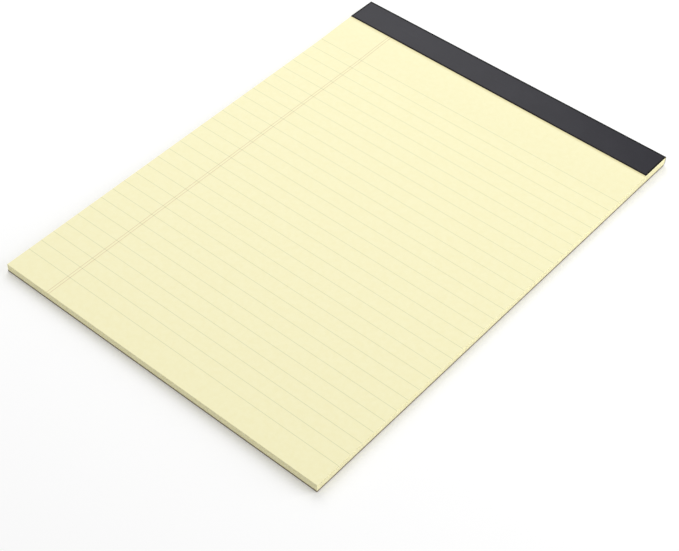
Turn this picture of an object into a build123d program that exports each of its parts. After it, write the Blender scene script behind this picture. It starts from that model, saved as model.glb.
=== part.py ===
from build123d import *

import os
from math import sin

# A writing pad: ruled sheets on a stiff board, wire-stitched at the head and bound there with one strip of
# tape, folded from the front over the head to the back. The origin is the middle of the underside, with +Y
# towards the head and +Z from the board up to the top sheet. All lengths are in millimetres.

# The sheets are letter width, and their length includes the stub that stays in the binding.
sheet_width = 215.9
sheet_length = 298.25
sheet_thickness = 0.082
sheet_count = 50

# No two sheets end quite alike, so each edge stands back from the trimmed size by up to the jog. The turn
# and the phases are angles in radians, which spread the jogs along the pile.
edge_jog = 0.22
jog_turn = 2.4
foot_phase = 0.0
left_phase = 1.1
right_phase = 3.7

# The stitches and the perforation swell the block, which climbs from its body to a thicker head.
head_swell = 0.9
swell_length = 34.0

# Each sheet tears off along a row of slits just below the tape.
perforation_gap = 1.6
perforation_pitch = 1.0
slit_length = 0.65
slit_width = 0.1

# The board is pressed flush with the tape that is folded onto its back.
board_thickness = 0.9
rebate_gap = 0.3

# The tape has a sharp crease at the front of the head and rolls round its back edge.
tape_thickness = 0.2
front_flap = 20.0
back_flap = 20.0
crease_radius = 0.5
roll_radius = 2.4

# Each wire stitch is pushed through from the front and clinched against the back of the board.
stitch_count = 3
stitch_pitch = 72.0
stitch_setback = 10.0
crown_length = 13.0
clinch_length = 5.0
wire_diameter = 0.45
wire_sides = 8
wire_bend_radius = 0.6
wire_clearance = 0.02

# Cuts run past the faces that they open.
overrun = 1.0

pad_length = sheet_length + tape_thickness
half_width = sheet_width / 2
foot = -pad_length / 2
head = pad_length / 2
block_head = head - tape_thickness
front_edge = head - front_flap
back_edge = head - back_flap
perforation_line = front_edge - perforation_gap
swell_start = perforation_line - swell_length
slit_count = int((sheet_width - 2 * edge_jog) / perforation_pitch)
head_pitch = sheet_thickness + head_swell / sheet_count
block_top = board_thickness + sheet_count * head_pitch
tape_top = block_top + tape_thickness

stitch_line = head - stitch_setback
crown_height = block_top - wire_clearance - wire_diameter / 2
clinch_height = tape_thickness + wire_clearance + wire_diameter / 2
wire_room = wire_diameter + 2 * wire_clearance

os.makedirs("parts", exist_ok=True)


def jog(index, phase):
    """How far one edge of a sheet stands back from the trimmed size."""
    return edge_jog * (1 + sin(index * jog_turn + phase)) / 2


def sheet_outline(index):
    """The lengthwise section of one sheet: level, then climbing to its place in the thicker head."""
    sheet_foot = foot + jog(index, foot_phase)
    body = board_thickness + index * sheet_thickness
    bound = board_thickness + index * head_pitch
    return [
        (sheet_foot, body),
        (swell_start, body),
        (perforation_line, bound),
        (block_head, bound),
        (block_head, bound + head_pitch),
        (perforation_line, bound + head_pitch),
        (swell_start, body + sheet_thickness),
        (sheet_foot, body + sheet_thickness),
    ]


def wire_path(tip_room):
    """The bent wire of one stitch: along the crown, down both legs and in along the clinched ends."""
    leg = crown_length / 2
    tip = leg - clinch_length - tip_room
    return FilletPolyline(
        (-tip, clinch_height),
        (-leg, clinch_height),
        (-leg, crown_height),
        (leg, crown_height),
        (leg, clinch_height),
        (tip, clinch_height),
        radius=wire_bend_radius,
    )


# The room that the tape takes round the head, rebate included
with BuildPart() as binding_room:
    with BuildSketch(Plane.YZ.offset(-half_width - overrun)):
        with BuildLine():
            FilletPolyline(
                (front_edge, block_top),
                (block_head, block_top),
                (block_head, tape_thickness),
                (back_edge - rebate_gap, tape_thickness),
                (back_edge - rebate_gap, -overrun),
                (head + overrun, -overrun),
                (head + overrun, tape_top + overrun),
                (front_edge, tape_top + overrun),
                radius=(0, crease_radius, roll_radius, 0, 0, 0, 0, 0),
                close=True,
            )
        make_face()
    extrude(amount=sheet_width + 2 * overrun)

# One stitch, and the room that it presses into the paper and the board
with BuildPart() as stitch:
    with BuildLine(Plane.XZ.offset(-stitch_line)):
        path = wire_path(0)
    with BuildSketch(Plane(origin=path @ 0, z_dir=path % 0)):
        RegularPolygon(wire_diameter / 2, wire_sides)
    sweep()

with BuildPart() as stitch_room:
    with BuildSketch(Plane.XZ.offset(-stitch_line)):
        with BuildLine():
            wire_path(wire_clearance)
        trace(line_width=wire_room)
    extrude(amount=wire_room / 2, both=True)

# The sheets, as one block with every edge of the pile at the foot and the sides
with BuildPart() as sheet_block:
    sheets = []
    for index in range(sheet_count):
        left = jog(index, left_phase) - half_width
        right = half_width - jog(index, right_phase)
        with BuildSketch(Plane.YZ.offset(left), mode=Mode.PRIVATE) as section:
            with BuildLine():
                Polyline(*sheet_outline(index), close=True)
            make_face()
        sheets.append(extrude(section.sketch, amount=right - left, mode=Mode.PRIVATE))
    add(sheets)
    add(binding_room.part, mode=Mode.SUBTRACT)
    with GridLocations(stitch_pitch, 0, stitch_count, 1):
        add(stitch_room.part, mode=Mode.SUBTRACT)
    with BuildSketch():
        with Locations((0, perforation_line)):
            with GridLocations(perforation_pitch, 0, slit_count, 1):
                Rectangle(slit_length, slit_width)
    extrude(amount=tape_top, mode=Mode.SUBTRACT)
sheet_block.part.label = "sheet_block"
export_step(sheet_block.part, "parts/sheet_block.step")

# The chipboard back
with BuildPart() as backing_board:
    with BuildSketch(Plane.YZ.offset(-half_width)):
        with BuildLine():
            Polyline(
                (foot, 0),
                (block_head, 0),
                (block_head, board_thickness),
                (foot, board_thickness),
                close=True,
            )
        make_face()
    extrude(amount=sheet_width)
    add(binding_room.part, mode=Mode.SUBTRACT)
    with GridLocations(stitch_pitch, 0, stitch_count, 1):
        add(stitch_room.part, mode=Mode.SUBTRACT)
backing_board.part.label = "backing_board"
export_step(backing_board.part, "parts/backing_board.step")

# The folded tape
with BuildPart() as binding_tape:
    with BuildSketch(Plane.YZ.offset(-half_width)):
        with BuildLine():
            FilletPolyline(
                (front_edge, block_top),
                (block_head, block_top),
                (block_head, tape_thickness),
                (back_edge, tape_thickness),
                (back_edge, 0),
                (head, 0),
                (head, tape_top),
                (front_edge, tape_top),
                radius=(
                    0,
                    crease_radius,
                    roll_radius,
                    0,
                    0,
                    roll_radius + tape_thickness,
                    crease_radius + tape_thickness,
                    0,
                ),
                close=True,
            )
        make_face()
    extrude(amount=sheet_width)
binding_tape.part.label = "binding_tape"
export_step(binding_tape.part, "parts/binding_tape.step")

# The stitches along the head
with BuildPart() as staples:
    with GridLocations(stitch_pitch, 0, stitch_count, 1):
        add(stitch.part)
staples.part.label = "staples"
export_step(staples.part, "parts/staples.step")
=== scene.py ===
import math

import bmesh
import bpy
from mathutils import Color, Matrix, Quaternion, Vector


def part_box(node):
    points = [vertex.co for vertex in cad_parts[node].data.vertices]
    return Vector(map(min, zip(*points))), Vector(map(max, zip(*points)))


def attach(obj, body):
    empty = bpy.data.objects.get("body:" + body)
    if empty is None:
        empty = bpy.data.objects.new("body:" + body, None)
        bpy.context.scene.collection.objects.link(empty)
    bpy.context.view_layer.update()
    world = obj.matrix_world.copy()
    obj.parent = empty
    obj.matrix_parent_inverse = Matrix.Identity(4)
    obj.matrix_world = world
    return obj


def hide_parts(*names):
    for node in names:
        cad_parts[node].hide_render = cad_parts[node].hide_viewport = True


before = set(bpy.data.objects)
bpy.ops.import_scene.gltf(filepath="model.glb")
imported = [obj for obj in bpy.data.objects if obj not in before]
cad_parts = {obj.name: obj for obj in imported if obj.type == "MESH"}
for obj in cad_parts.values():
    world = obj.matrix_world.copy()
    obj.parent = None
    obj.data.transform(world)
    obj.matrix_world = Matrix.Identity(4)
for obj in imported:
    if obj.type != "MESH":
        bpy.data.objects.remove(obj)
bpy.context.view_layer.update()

# The back
# One sheet of grey chipboard, pressed from waste paper, so its face is mottled and full of stray fibres.
# It is cut to the size of the sheets and stitched under them, with the tape pressed flush into its head.
MM = 0.001


class Field:
    """A socket in a node tree, so that sums on patterns are written as sums on numbers."""

    # A Mix node's colour sockets share their names with its other sockets, so they go by their places.
    MIX_FACTOR, FIRST_COLOUR, SECOND_COLOUR, MIXED_COLOUR = 0, 6, 7, 2

    def __init__(self, tree, socket):
        self.tree = tree
        self.socket = socket

    def node(self, kind, settings=None, inputs=None, output=0):
        """Adds a node with its settings and the values or links of its sockets, and gives one output."""
        made = self.tree.nodes.new(kind)
        for name, value in (settings or {}).items():
            setattr(made, name, value)
        for key, value in (inputs or {}).items():
            if isinstance(value, Field):
                self.tree.links.new(value.socket, made.inputs[key])
            else:
                made.inputs[key].default_value = value
        return Field(self.tree, made.outputs[output])

    def math(self, operation, *values):
        """Adds a Math node on these values."""
        return self.node("ShaderNodeMath", {"operation": operation}, dict(enumerate(values)))

    def __add__(self, other):
        return self.math("ADD", self, other)

    def __radd__(self, other):
        return self.math("ADD", other, self)

    def __sub__(self, other):
        return self.math("SUBTRACT", self, other)

    def __rsub__(self, other):
        return self.math("SUBTRACT", other, self)

    def __mul__(self, other):
        return self.math("MULTIPLY", self, other)

    def __rmul__(self, other):
        return self.math("MULTIPLY", other, self)

    def __truediv__(self, other):
        return self.math("DIVIDE", self, other)

    def __pow__(self, other):
        return self.math("POWER", self, other)

    def __abs__(self):
        return self.math("ABSOLUTE", self)

    def least(self, other):
        """The lower of two values."""
        return self.math("MINIMUM", self, other)

    def most(self, other):
        """The higher of two values."""
        return self.math("MAXIMUM", self, other)

    def vector(self, x, y, z):
        """Three values as one vector."""
        return self.node("ShaderNodeCombineXYZ", inputs={0: x, 1: y, 2: z})

    def split(self):
        """The three parts of this vector."""
        made = self.node("ShaderNodeSeparateXYZ", inputs={0: self}).socket.node
        return [Field(self.tree, socket) for socket in made.outputs]

    def stretch(self, *factors):
        """This vector with each part scaled."""
        return self.node("ShaderNodeVectorMath", {"operation": "MULTIPLY"}, {0: self, 1: factors})

    def step(self, low, high):
        """Climbs smoothly from 0 to 1 as this value goes from low to high."""
        settings = {"interpolation_type": "SMOOTHSTEP"}
        return self.node("ShaderNodeMapRange", settings, {"Value": self, "From Min": low, "From Max": high})

    def noise(self, scale, detail=2.0, roughness=0.5):
        """Cloudy noise from 0 to 1 over this vector."""
        inputs = {"Vector": self, "Scale": scale, "Detail": detail, "Roughness": roughness}
        return self.node("ShaderNodeTexNoise", inputs=inputs)

    def blend(self, first, second, how="MIX"):
        """Mixes two colours by this value."""
        settings = {"data_type": "RGBA", "blend_type": how}
        inputs = {self.MIX_FACTOR: self, self.FIRST_COLOUR: first, self.SECOND_COLOUR: second}
        return self.node("ShaderNodeMix", settings, inputs, self.MIXED_COLOUR)

    def bump(self, strength, distance):
        """The surface normal, with this value as height."""
        inputs = {"Height": self, "Strength": strength, "Distance": distance}
        return self.node("ShaderNodeBump", inputs=inputs)


def tint(red, green, blue):
    """A colour as it is seen on a screen, each part from 0 to 255, turned into amounts of light."""
    return *Color((red / 255, green / 255, blue / 255)).from_srgb_to_scene_linear(), 1.0


def new_finish(name, **constants):
    """A material with its even values set, its shader, and the place on the object in millimetres."""
    material = bpy.data.materials.new(name)
    material.use_nodes = True
    tree = material.node_tree
    shader = tree.nodes["Principled BSDF"]
    for key, value in constants.items():
        shader.inputs[key.replace("_", " ")].default_value = value
    place = Field(tree, tree.nodes.new("ShaderNodeTexCoord").outputs["Object"])
    return material, shader, place.stretch(1 / MM, 1 / MM, 1 / MM)


def feed(shader, **fields):
    """Links patterns to the shader's sockets."""
    for key, field in fields.items():
        field.tree.links.new(field.socket, shader.inputs[key.replace("_", " ")])


BOARD_GREY = tint(140, 129, 110)
BOARD_PALE = tint(148, 137, 118)
FIBRE_BROWN = tint(118, 107, 90)
DARK_FLECK = tint(78, 69, 58)
PALE_FLECK = tint(186, 177, 158)
PLY_BROWN = tint(96, 86, 72)


def chipboard():
    """Grey board with soft clouds, stray fibres, dark and pale flecks, and plies that show at its edges."""
    material, shader, place = new_finish("chipboard", Specular_IOR_Level=0.25)
    clouds = place.noise(scale=0.11, detail=4.0, roughness=0.6)
    plies = place.stretch(0.2, 0.2, 6.0).noise(scale=1.0, detail=3.0)
    fibres = place.stretch(0.5, 1.0, 1.0).noise(scale=3.0, detail=5.0, roughness=0.65)
    dark_flecks = place.noise(scale=1.7, detail=3.0).step(0.60, 0.68)
    pale_flecks = place.stretch(1.0, 0.45, 1.0).noise(scale=2.6).step(0.62, 0.70)
    colour = clouds.step(0.3, 0.7).blend(BOARD_GREY, BOARD_PALE)
    colour = (0.55 * fibres.step(0.35, 0.75)).blend(colour, FIBRE_BROWN)
    colour = (0.45 * dark_flecks).blend(colour, DARK_FLECK)
    colour = (0.40 * pale_flecks).blend(colour, PALE_FLECK)
    colour = (0.30 * plies).blend(colour, PLY_BROWN)
    roughness = 0.78 + 0.2 * fibres
    height = fibres + 0.4 * pale_flecks - 0.3 * dark_flecks
    normal = height.bump(strength=0.35, distance=0.05 * MM)
    feed(shader, Base_Color=colour, Roughness=roughness, Normal=normal)
    return material


backing_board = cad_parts["backing_board"]
backing_board.data.materials.clear()
backing_board.data.materials.append(chipboard())

# The pile of sheets
# Fifty sheets of thin uncoated paper, dyed yellow in the pulp and cut together, so their edges run level
# but never quite true. Stitches and perforation swell the head, and the free corners lift a little.
block_low, block_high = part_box("sheet_block")
tape_low, tape_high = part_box("binding_tape")
HALF_WIDTH = tape_high.x
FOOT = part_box("backing_board")[0].y
SHEET_LENGTH = block_high.y - FOOT
SHEETS = 50
SWELL = 0.9 * MM
SWELL_LENGTH = 34 * MM
PERFORATION_GAP = 1.6 * MM
PERFORATION = tape_low.y - PERFORATION_GAP
PITCH = (block_high.z - block_low.z - SWELL) / SHEETS
PAPER_SHARE = 0.92
PILE_GRID = (5, 65)

# The tape rounds off the head of the pile, widely at the back and tightly at the front.
TAPE_THICKNESS = 0.2 * MM
ROLL_RADIUS = 2.4 * MM
CREASE_RADIUS = 0.06 * MM

# An edge wanders from sheet to sheet at two paces, by bundles and by single sheets, each with its swing.
STAGGER = 0.11 * MM
DRIFTS = ((0.13, 0.8), (0.83, 0.6))
SEED = 7
FOOT_SEED = 40.0

# The foot lifts most at the right corner, and each sheet down the pile lifts less.
CURL = 0.35 * MM
CURL_LENGTH = 70 * MM
CURL_FADE = 8.0
LEFT_SHARE = 0.35

EDGE_DEEP = tint(249, 245, 205)
EDGE_PALE = tint(251, 248, 212)
EDGE_SHADE = tint(236, 227, 184)
SHADE_STEP = 0.7317
TOOTH_SHADE = tint(230, 220, 168)

pile_sizes = {
    "Sheets": SHEETS,
    "Half Width": HALF_WIDTH,
    "Foot": FOOT,
    "Head": block_high.y,
    "Floor": block_low.z,
    "Top": block_high.z,
    "Pitch": PITCH,
    "Paper": PAPER_SHARE * PITCH,
    "Swell": SWELL,
    "Swell Start": PERFORATION - SWELL_LENGTH,
    "Swell End": PERFORATION,
    "Stagger": STAGGER,
    "Seed": SEED,
    "Curl": CURL,
    "Curl Length": CURL_LENGTH,
    "Tape": TAPE_THICKNESS,
    "Roll": ROLL_RADIUS,
    "Crease": CREASE_RADIUS,
}


def drift(sheet, seed):
    """How one edge wanders from sheet to sheet, from -1 to 1."""
    wander = 0.0
    for pace, swing in DRIFTS:
        along = {"W": sheet * pace + seed, "Scale": 1.0, "Detail": 0.0}
        noise = sheet.node("ShaderNodeTexNoise", {"noise_dimensions": "1D"}, along)
        wander = wander + swing * (2 * noise - 1)
    return wander.most(-1.0).least(1.0)


def lay_in_pile(shape, sheet, size):
    """Moves sheets from the height of the origin to their places, numbered from the board up."""
    x, y, z = shape.node("GeometryNodeInputPosition").split()
    climb = y.step(size["Swell Start"], size["Swell End"])
    share = (sheet + 1) / size["Sheets"]
    lift = (1 - (y - size["Foot"]) / size["Curl Length"]).most(0.0) ** 2.0
    corner = LEFT_SHARE + (1 - LEFT_SHARE) * (0.5 + 0.5 * x / size["Half Width"]) ** 2.0
    z = z + size["Paper"] * 0.5 + size["Floor"] + sheet * size["Pitch"]
    z = z + size["Swell"] * share * climb + size["Curl"] * lift * corner * share ** CURL_FADE
    x = x + size["Stagger"] * drift(sheet, size["Seed"])
    y = y + size["Stagger"] * (1 - climb) * drift(sheet, size["Seed"] + FOOT_SEED)
    for radius, depth in ((size["Roll"], z - size["Tape"]), (size["Crease"], size["Top"] - z)):
        short = (radius - depth).most(0.0)
        y = y.least(size["Head"] - radius + (radius * radius - short * short) ** 0.5)
    place = shape.vector(x, y, z)
    return shape.node("GeometryNodeSetPosition", inputs={"Geometry": shape, "Position": place})


def leaf(size, foot, head, columns, rows):
    """One flat sheet at the height of the origin, from its foot to its head, as a closed thin box."""
    width = 2 * (size["Half Width"] - size["Stagger"])
    extent = width.vector(width, head - foot, size["Paper"])
    counts = {"Size": extent, "Vertices X": columns, "Vertices Y": rows, "Vertices Z": 2}
    sheet = width.node("GeometryNodeMeshCube", inputs=counts)
    middle = width.vector(0.0, 0.5 * (foot + head), 0.0)
    return width.node("GeometryNodeTransform", inputs={"Geometry": sheet, "Translation": middle})


def lower_sheets(size):
    """Every sheet but the top one, with its number kept for its place and its shade."""
    sheet = leaf(size, size["Foot"] + size["Stagger"], size["Head"], *PILE_GRID)
    stations = {"Count": size["Sheets"] - 1, "Offset": (0.0, 0.0, 0.0)}
    stations = sheet.node("GeometryNodeMeshLine", inputs=stations)
    sheets = sheet.node("GeometryNodeInstanceOnPoints", inputs={"Points": stations, "Instance": sheet})
    settings = {"data_type": "FLOAT", "domain": "INSTANCE"}
    numbered = {"Geometry": sheets, "Name": "sheet", "Value": sheet.node("GeometryNodeInputIndex")}
    sheets = sheet.node("GeometryNodeStoreNamedAttribute", settings, numbered)
    sheets = sheet.node("GeometryNodeRealizeInstances", inputs={"Geometry": sheets})
    number = sheet.node("GeometryNodeInputNamedAttribute", {"data_type": "FLOAT"}, {"Name": "sheet"})
    return lay_in_pile(sheets, number, size)


def shape_tree(name, make_shape, sizes, material):
    """A tree with the sizes as its named inputs, which makes a shape and gives it its finish."""
    tree = bpy.data.node_groups.new(name, "GeometryNodeTree")
    tree.interface.new_socket("Shape", in_out="OUTPUT", socket_type="NodeSocketGeometry")
    for label, value in sizes.items():
        kind = "NodeSocketInt" if isinstance(value, int) else "NodeSocketFloat"
        tree.interface.new_socket(label, in_out="INPUT", socket_type=kind)
    entry = tree.nodes.new("NodeGroupInput")
    shape = make_shape({label: Field(tree, entry.outputs[label]) for label in sizes})
    shape = shape.node("GeometryNodeRealizeInstances", inputs={"Geometry": shape})
    shape = shape.node("GeometryNodeSetMaterial", inputs={"Geometry": shape, "Material": material})
    last = tree.nodes.new("NodeGroupOutput")
    tree.links.new(shape.socket, last.inputs["Shape"])
    return tree


def put(name, data):
    """A new object in the scene."""
    thing = bpy.data.objects.new(name, data)
    bpy.context.scene.collection.objects.link(thing)
    return thing


def grow(name, make_shape, sizes, material):
    """A plain mesh object, made by a shape tree from its sizes."""
    tree = shape_tree(name, make_shape, sizes, material)
    piece = put(name, bpy.data.meshes.new(name))
    modifier = piece.modifiers.new("Shape", "NODES")
    modifier.node_group = tree
    for item in tree.interface.items_tree:
        if item.in_out == "INPUT":
            modifier[item.identifier] = sizes[item.name]
    grown = piece.evaluated_get(bpy.context.evaluated_depsgraph_get())
    mesh = bpy.data.meshes.new_from_object(grown)
    piece.modifiers.remove(modifier)
    piece.data = mesh
    return piece


def paper_colour(place, deep, pale):
    """Yellow paper: its cloudy colour between two tints, and the fine tooth of its face."""
    formation = place.noise(scale=0.35, detail=4.0, roughness=0.55)
    tooth = place.noise(scale=4.0, detail=3.0, roughness=0.6)
    colour = formation.step(0.25, 0.75).blend(deep, pale)
    return (0.10 * tooth).blend(colour, TOOTH_SHADE), tooth


def cut_paper():
    """The paper at its cut edges, which are paler, and where each sheet takes the light differently."""
    material, shader, place = new_finish("cut_paper", Specular_IOR_Level=0.25)
    colour, tooth = paper_colour(place, EDGE_DEEP, EDGE_PALE)
    number = place.node("ShaderNodeAttribute", {"attribute_name": "sheet"}, output="Fac")
    turns = number * SHADE_STEP
    shade = turns.math("FRACT", turns)
    streaks = place.stretch(0.02, 0.02, 12.0).noise(scale=1.0)
    colour = (0.25 * shade + 0.20 * streaks).blend(colour, EDGE_SHADE)
    normal = tooth.bump(strength=0.15, distance=0.03 * MM)
    feed(shader, Base_Color=colour, Roughness=0.75 + 0.2 * tooth, Normal=normal)
    return material


sheet_pile = grow("sheet_pile", lower_sheets, pile_sizes, cut_paper())
sheet_numbers = [round(item.value) for item in sheet_pile.data.attributes["sheet"].data]

# Each side of a sheet has an upright strip of the map. A strip's start and width are shares of the map.
FLAT = 0.7
MAP_RIM = 0.004
STRIP_RIM = 0.15
SPARE_STRIPS = 6
EDGES = ("left", "right", "foot", "head")
EDGE_STRIPS = len(EDGES) * SHEETS + SPARE_STRIPS
HIDDEN_STRIP = (0.98, 0.018)


def side_of(normal):
    """The side of a sheet that faces this way."""
    if abs(normal.z) > FLAT:
        return "face" if normal.z > 0 else "back"
    if abs(normal.x) > FLAT:
        return "left" if normal.x < 0 else "right"
    return "foot" if normal.y < 0 else "head"


def map_sheets(piece, strip_of):
    """Lays every side of the sheets into its own strip of the map."""
    mesh = piece.data
    layer = mesh.uv_layers.new(name="OFBake")
    for face in mesh.polygons:
        side = side_of(face.normal)
        start, width = strip_of(face, side)
        for corner in face.loop_indices:
            point = mesh.vertices[mesh.loops[corner].vertex_index].co
            across = point.x / HALF_WIDTH / 2 + 0.5
            along = (point.y - FOOT) / SHEET_LENGTH
            upper = 1.0 if point.z > face.center.z else 0.0
            u = upper if side in EDGES else across
            v = across if side in ("foot", "head") else along
            layer.data[corner].uv = (start + width * u, MAP_RIM + (1 - 2 * MAP_RIM) * v)


def edge_strip(face, side):
    """A strip for each cut edge of each sheet, and one narrow strip for all hidden faces."""
    if side not in EDGES:
        return HIDDEN_STRIP
    strip = EDGES.index(side) * SHEETS + sheet_numbers[face.vertices[0]]
    return (strip + STRIP_RIM) / EDGE_STRIPS, (1 - 2 * STRIP_RIM) / EDGE_STRIPS


map_sheets(sheet_pile, edge_strip)
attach(sheet_pile, "root")
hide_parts("sheet_block")

# The top sheet
# The first sheet to write on: pale blue rules across the full width and a double red margin line, printed
# before the sheets were cut. It tears off along a row of fine slits just below the tape.
SLIT_WIDTH = 0.1 * MM
SLIT_LENGTH = 0.65 * MM
SLIT_PITCH = 1.0 * MM
PAGE_GRID = (41, 121)
STUB_GRID = (41, 11)
slit_sizes = {"Slit Width": SLIT_WIDTH, "Slit Length": SLIT_LENGTH, "Slit Pitch": SLIT_PITCH}

# The front edge of the tape lies a hair past its nominal line and out of square, lower at the right.
FRONT_OVERRUN = 0.12 * MM
FRONT_SLANT = 0.0048

# The print is placed in millimetres, rules from the head and margin lines from the left edge. A painted
# shadow darkens the paper below the tape's front edge, over a width in millimetres too.
FIRST_RULE = 47.5
RULE_PITCH = 8.731
RULES = 28
MARGIN = 31.2
MARGIN_SPACING = 1.6
LINE_WIDTH = 0.36
LINE_SOFTNESS = 0.06
LINE_WOBBLE = 0.02
TAPE_SHADOW_WIDTH = 2.2

PAGE_DEEP = tint(246, 240, 192)
PAGE_PALE = tint(248, 243, 198)
RULE_BLUE = tint(225, 231, 230)
MARGIN_RED = tint(230, 217, 214)
# The next tint is painted shadow, for the paper just below the tape.
TAPE_SHADOW_BROWN = tint(232, 226, 214)

PAGE_STRIPS = {
    "face": (0.004, 0.95),
    "back": (0.960, 0.016),
    "left": (0.980, 0.004),
    "right": (0.985, 0.004),
    "foot": (0.990, 0.004),
    "head": (0.995, 0.004),
}


def perforated_sheet(size):
    """The page and its stub, with a row of small ties between the slits."""
    line, pitch, slit = size["Swell End"], size["Slit Pitch"], size["Slit Width"]
    page = leaf(size, size["Foot"] + size["Stagger"], line - slit * 0.5, *PAGE_GRID)
    stub = leaf(size, line + slit * 0.5, size["Head"], *STUB_GRID)
    places = 2 * (size["Half Width"] - size["Stagger"]) / pitch
    count = places.math("FLOOR", places)
    tie_size = line.vector(pitch - size["Slit Length"], slit, size["Paper"])
    tie = line.node("GeometryNodeMeshCube", inputs={"Size": tie_size})
    start = line.vector(0.5 * pitch * (1 - count), line, 0.0)
    row = {"Count": count, "Start Location": start, "Offset": line.vector(pitch, 0.0, 0.0)}
    row = line.node("GeometryNodeMeshLine", inputs=row)
    ties = line.node("GeometryNodeInstanceOnPoints", inputs={"Points": row, "Instance": tie})
    ties = line.node("GeometryNodeRealizeInstances", inputs={"Geometry": ties})
    sheet = line.node("GeometryNodeJoinGeometry", inputs={0: page})
    for part in (stub, ties):
        line.tree.links.new(part.socket, sheet.socket.node.inputs[0])
    return lay_in_pile(sheet, size["Sheets"] - 1, size)


def front_edge(x, unit):
    """Where the front edge of the tape lies at this place across the sheet, both in the same unit."""
    return (tape_low.y - FRONT_OVERRUN) / unit - FRONT_SLANT * x


def inked(distance):
    """Full ink up to half a line's width from its middle, with soft sides."""
    return 1 - distance.step(LINE_WIDTH / 2 - LINE_SOFTNESS, LINE_WIDTH / 2 + LINE_SOFTNESS)


def ruled_paper():
    """The paper of a page with its uneven print, and painted shadow along the tape's front edge."""
    material, shader, place = new_finish("ruled_paper", Specular_IOR_Level=0.5)
    colour, tooth = paper_colour(place, PAGE_DEEP, PAGE_PALE)
    x, y, _ = place.split()
    wobble = LINE_WOBBLE * (2 * place.stretch(0.05, 0.4, 0.0).noise(scale=1.0) - 1)
    density = 0.7 + 0.6 * place.stretch(0.6, 3.0, 0.0).noise(scale=1.0, detail=3.0)
    rows = (tape_high.y / MM - FIRST_RULE + wobble - y) / RULE_PITCH
    nearest = rows.math("ROUND", rows).most(0.0).least(RULES - 1.0)
    from_rule = abs(rows - nearest) * RULE_PITCH
    from_margin = abs(abs(x + HALF_WIDTH / MM - MARGIN + wobble) - MARGIN_SPACING / 2)
    # Painted shadow of the tape: the page darkens towards the tape's front edge and stays darker under the
    # tape.
    painted_tape_shadow = (y - front_edge(x, MM)).step(-TAPE_SHADOW_WIDTH, 0.0)
    colour = (inked(from_rule) * density).blend(colour, RULE_BLUE, "MULTIPLY")
    colour = (inked(from_margin) * density).blend(colour, MARGIN_RED, "MULTIPLY")
    colour = painted_tape_shadow.blend(colour, TAPE_SHADOW_BROWN, "MULTIPLY")
    normal = tooth.bump(strength=0.12, distance=0.03 * MM)
    feed(shader, Base_Color=colour, Roughness=0.45 + 0.2 * tooth, Normal=normal)
    return material


def page_strip(face, side):
    """Nearly all of the map for the written face, and narrow strips for the other sides."""
    return PAGE_STRIPS[side]


top_sheet = grow("top_sheet", perforated_sheet, pile_sizes | slit_sizes, ruled_paper())
map_sheets(top_sheet, page_strip)
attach(top_sheet, "root")
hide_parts("sheet_block")

# The tape
# One strip of charcoal binding tape, glued over the front, round the head and onto the back of the board.
# It is creased sharp at the front, rolls round the back edge, and is trimmed off level with the sides.
COLUMNS = 181
FLAP_POINTS = 31
EDGE_POINTS = 5
CREASE_STEPS = 8
ROLL_STEPS = 16
SKIN_SHARE = 0.98
SMOOTH_ANGLE = math.radians(40)

# Its free edges are pressed thin.
THIN_EDGE = 0.8 * MM
THINNING_SHARE = 0.6

# The wire of the three stitches shows faintly through the front.
STITCH_SETBACK = 10 * MM
STITCH_PITCH = 72 * MM
STITCH_PLACES = (-STITCH_PITCH, 0.0, STITCH_PITCH)
CROWN_LENGTH = 13 * MM
PRESSED_THROUGH = 0.03 * MM
PRESSED_WIDTH = 0.7 * MM
PRESSED_END = 0.9 * MM

# A rougher rim, darkened by painted shade, runs along its front edge, its ends and its crease, its widths
# in millimetres.
RIM_FADE = (0.3, 1.7)
RIM_WANDER = 0.4
CREASE_INSET = 0.3
SPINE_FADE = 3

CHARCOAL = tint(36, 35, 43)
CHARCOAL_PALE = tint(40, 39, 47)
GRAIN_DARK = tint(29, 28, 34)
# The next tint is painted shade, for the tape's rim.
RIM_SHADE_BLACK = tint(9, 7, 5)


def flap(length):
    """Points along a flap from its free edge inwards: how far in each lies, and how much it is thinned."""
    points = []
    for i in range(FLAP_POINTS):
        if i < EDGE_POINTS:
            at = THIN_EDGE * i / EDGE_POINTS
        else:
            at = THIN_EDGE + (length - THIN_EDGE) * (i - EDGE_POINTS) / (FLAP_POINTS - EDGE_POINTS)
        points.append((at, THINNING_SHARE * max(0.0, 1 - at / THIN_EDGE) ** 2))
    return points


def quarter_turn(steps):
    """The sine and the cosine of each angle of a quarter turn."""
    turns = [math.pi / 2 * i / steps for i in range(steps + 1)]
    return [(math.sin(turn), math.cos(turn)) for turn in turns]


def tape_path(inset):
    """The tape's outline from its front edge round the head to its back edge, moved in by the inset."""
    head, top, low = tape_high.y - inset, tape_high.z - inset, tape_low.z + inset
    crease = CREASE_RADIUS + TAPE_THICKNESS - inset
    roll = ROLL_RADIUS + TAPE_THICKNESS - inset
    spare = TAPE_THICKNESS - inset
    points = []
    for at, thin in flap(head - crease - tape_low.y):
        points.append((tape_low.y + at, top - spare * thin))
    for sine, cosine in quarter_turn(CREASE_STEPS):
        points.append((head - crease + crease * sine, top - crease + crease * cosine))
    for sine, cosine in quarter_turn(ROLL_STEPS):
        points.append((head - roll + roll * cosine, low + roll - roll * sine))
    for at, thin in reversed(flap(head - roll - tape_low.y)):
        points.append((tape_low.y + at, low + spare * thin))
    return points


def pressed(x, y):
    """How far the wire under the tape shows through it, from 0 to 1."""
    across = (y - tape_high.y + STITCH_SETBACK) / PRESSED_WIDTH
    from_middle = min(abs(x - place) for place in STITCH_PLACES)
    along = max(0.0, from_middle - CROWN_LENGTH / 2) / PRESSED_END
    return math.exp(-across * across - along * along)


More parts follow.
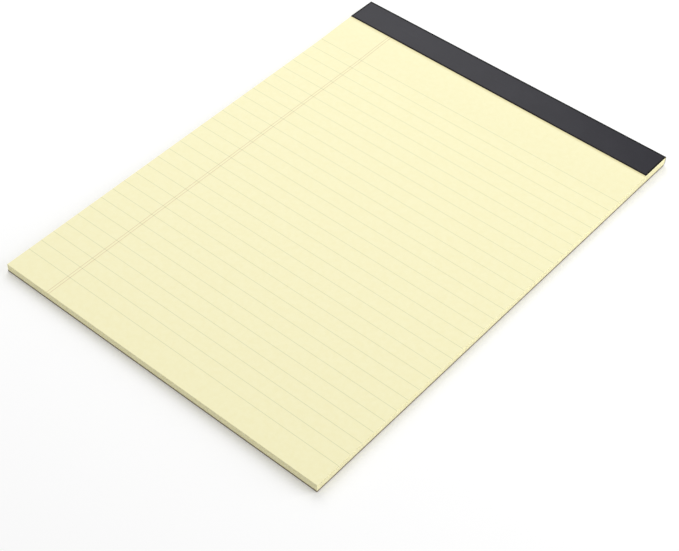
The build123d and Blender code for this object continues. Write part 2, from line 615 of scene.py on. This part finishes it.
def tape_mesh():
    """The folded strip as a closed skin, swept from side to side, with its front flap drawn to its edge."""
    outer, inner = tape_path(0.0), tape_path(SKIN_SHARE * TAPE_THICKNESS)
    ring = outer + inner[::-1]
    count = len(ring)
    shell = bmesh.new()
    rows = []
    for column in range(COLUMNS):
        x = HALF_WIDTH * (2 * column / (COLUMNS - 1) - 1)
        row = [shell.verts.new((x, y, z)) for y, z in ring]
        for vert in row[:FLAP_POINTS]:
            vert.co.z += PRESSED_THROUGH * pressed(x, vert.co.y)
        slip = (front_edge(x, 1.0) - tape_low.y) / (tape_high.y - tape_low.y)
        for vert in row[:FLAP_POINTS] + row[-FLAP_POINTS:]:
            vert.co.y += slip * (tape_high.y - vert.co.y)
        rows.append(row)
    for before, after in zip(rows, rows[1:]):
        for i in range(count):
            shell.faces.new((before[i], before[i - 1], after[i - 1], after[i]))
    for end in (rows[0], rows[-1]):
        for i in range(len(outer) - 1):
            shell.faces.new((end[i], end[i + 1], end[count - 2 - i], end[count - 1 - i]))
    bmesh.ops.recalc_face_normals(shell, faces=shell.faces)
    mesh = bpy.data.meshes.new("binding_tape_skin")
    shell.to_mesh(mesh)
    shell.free()
    mesh.shade_smooth()
    mesh.set_sharp_from_angle(angle=SMOOTH_ANGLE)
    return mesh


def charcoal_tape():
    """Smooth dark tape with a fine grain, satin on its faces and rougher along its rim, where painted shade
    darkens it.
    """
    material, shader, place = new_finish("charcoal_tape", Specular_IOR_Level=0.155)
    x, y, z = place.split()
    grain = place.noise(scale=2.4)
    fine = place.noise(scale=9.0, roughness=0.6)
    clouds = place.noise(scale=0.06, detail=3.0)
    from_front = y - front_edge(x, MM)
    from_end = HALF_WIDTH / MM - abs(x)
    from_crease = tape_high.y / MM - y + SPINE_FADE * (tape_high.z / MM - z) - CREASE_INSET
    inside = from_front.least(from_end).least(from_crease)
    # Painted shade along the front edge, the ends and the crease; the same mask makes the rim rougher.
    rim_shade_and_dullness = 1 - (inside + RIM_WANDER * clouds).step(*RIM_FADE)
    colour = clouds.step(0.3, 0.7).blend(CHARCOAL, CHARCOAL_PALE)
    colour = (0.4 * grain).blend(colour, GRAIN_DARK)
    colour = rim_shade_and_dullness.blend(colour, RIM_SHADE_BLACK)
    roughness = 0.30 + 0.12 * grain + 0.45 * rim_shade_and_dullness
    normal = (grain + 0.5 * fine).bump(strength=0.2, distance=0.04 * MM)
    feed(shader, Base_Color=colour, Roughness=roughness, Normal=normal)
    return material


binding_tape = put("binding_tape_skin", tape_mesh())
binding_tape.data.materials.append(charcoal_tape())
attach(binding_tape, "root")
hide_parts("binding_tape")

# The stitches
# Three lengths of bright drawn wire, pushed through the sheets and the board and clinched at the back.
# The tape covers them.
WIRE_GREY = tint(176, 176, 178)
WIRE_BRIGHT = tint(205, 205, 206)


def drawn_wire():
    """Bare metal with fine streaks along the wire, from the die that it was drawn through."""
    material, shader, place = new_finish("drawn_wire", Metallic=1.0)
    streaks = place.stretch(0.3, 6.0, 6.0).noise(scale=1.0, detail=3.0)
    colour = streaks.blend(WIRE_GREY, WIRE_BRIGHT)
    feed(shader, Base_Color=colour, Roughness=0.25 + 0.2 * streaks)
    return material


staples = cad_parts["staples"]
staples.data.materials.clear()
staples.data.materials.append(drawn_wire())

# The floor and the light
# A plain white studio floor and even white walls all round, with a large softbox behind the pad and to its
# left, and a lower one behind it and to its right that lights the cut edges.
FLOOR_SIZE = 8.0
FLOOR_DROP = 0.02 * MM
FLOOR_GLOW = 0.14
FLOOR_WHITE = (0.9, 0.9, 0.9, 1.0)
WHITE = (1.0, 1.0, 1.0, 1.0)
WALLS = 0.56
KEY_PLACE = (-0.70, 0.62, 0.95)
KEY_SIZE = 1.05
KEY_POWER = 9.0
FILL_PLACE = (0.95, 0.62, 0.42)
FILL_SIZE = 0.9
FILL_POWER = 7.0


def white_floor():
    """Matt white, with a little light of its own."""
    matt = {"Base_Color": FLOOR_WHITE, "Roughness": 0.9, "Specular_IOR_Level": 0.0}
    glow = {"Emission_Color": WHITE, "Emission_Strength": FLOOR_GLOW}
    material, _, _ = new_finish("white_floor", **matt, **glow)
    return material


def floor_mesh():
    """One large square at the height of the origin."""
    half = FLOOR_SIZE / 2
    corners = [(-half, -half, 0), (half, -half, 0), (half, half, 0), (-half, half, 0)]
    mesh = bpy.data.meshes.new("floor")
    mesh.from_pydata(corners, [], [(0, 1, 2, 3)])
    return mesh


def aim(thing, place, target):
    """Stands a lamp or a camera at its place, turned to its target."""
    thing.location = place
    thing.rotation_mode = "QUATERNION"
    thing.rotation_quaternion = (Vector(target) - Vector(place)).to_track_quat("-Z", "Y")


def softbox(name, place, size, power):
    """A square lamp turned to the pad."""
    lamp = bpy.data.lights.new(name, "AREA")
    lamp.shape = "SQUARE"
    lamp.size = size
    lamp.energy = power
    aim(put(name, lamp), place, (0.0, 0.0, 0.0))


floor = put("floor", floor_mesh())
floor.location.z = -FLOOR_DROP
floor.data.materials.append(white_floor())

world = bpy.data.worlds.new("studio")
world.use_nodes = True
world.node_tree.nodes["Background"].inputs["Color"].default_value = WHITE
world.node_tree.nodes["Background"].inputs["Strength"].default_value = WALLS
bpy.context.scene.world = world

softbox("key", KEY_PLACE, KEY_SIZE, KEY_POWER)
softbox("fill", FILL_PLACE, FILL_SIZE, FILL_POWER)
bpy.context.scene.view_settings.view_transform = "Standard"

# The camera
# It stands in front of the pad and to its right and looks down on it, turned a little about its own axis.
FRAME_WIDTH = 679
FOCAL_PIXELS = 1594.66
SENSOR_WIDTH = 36.0
EYE = Vector((393.97, -477.39, 612.71)) * MM
AIM = Vector((28.92, -40.99, 5.68)) * MM
ROLL = math.radians(0.93)

lens = bpy.data.cameras.new("camera")
lens.sensor_width = SENSOR_WIDTH
lens.lens = FOCAL_PIXELS * SENSOR_WIDTH / FRAME_WIDTH
camera = put("camera", lens)
aim(camera, EYE, AIM)
camera.rotation_quaternion = camera.rotation_quaternion @ Quaternion((0.0, 0.0, 1.0), ROLL)
bpy.context.scene.camera = camera
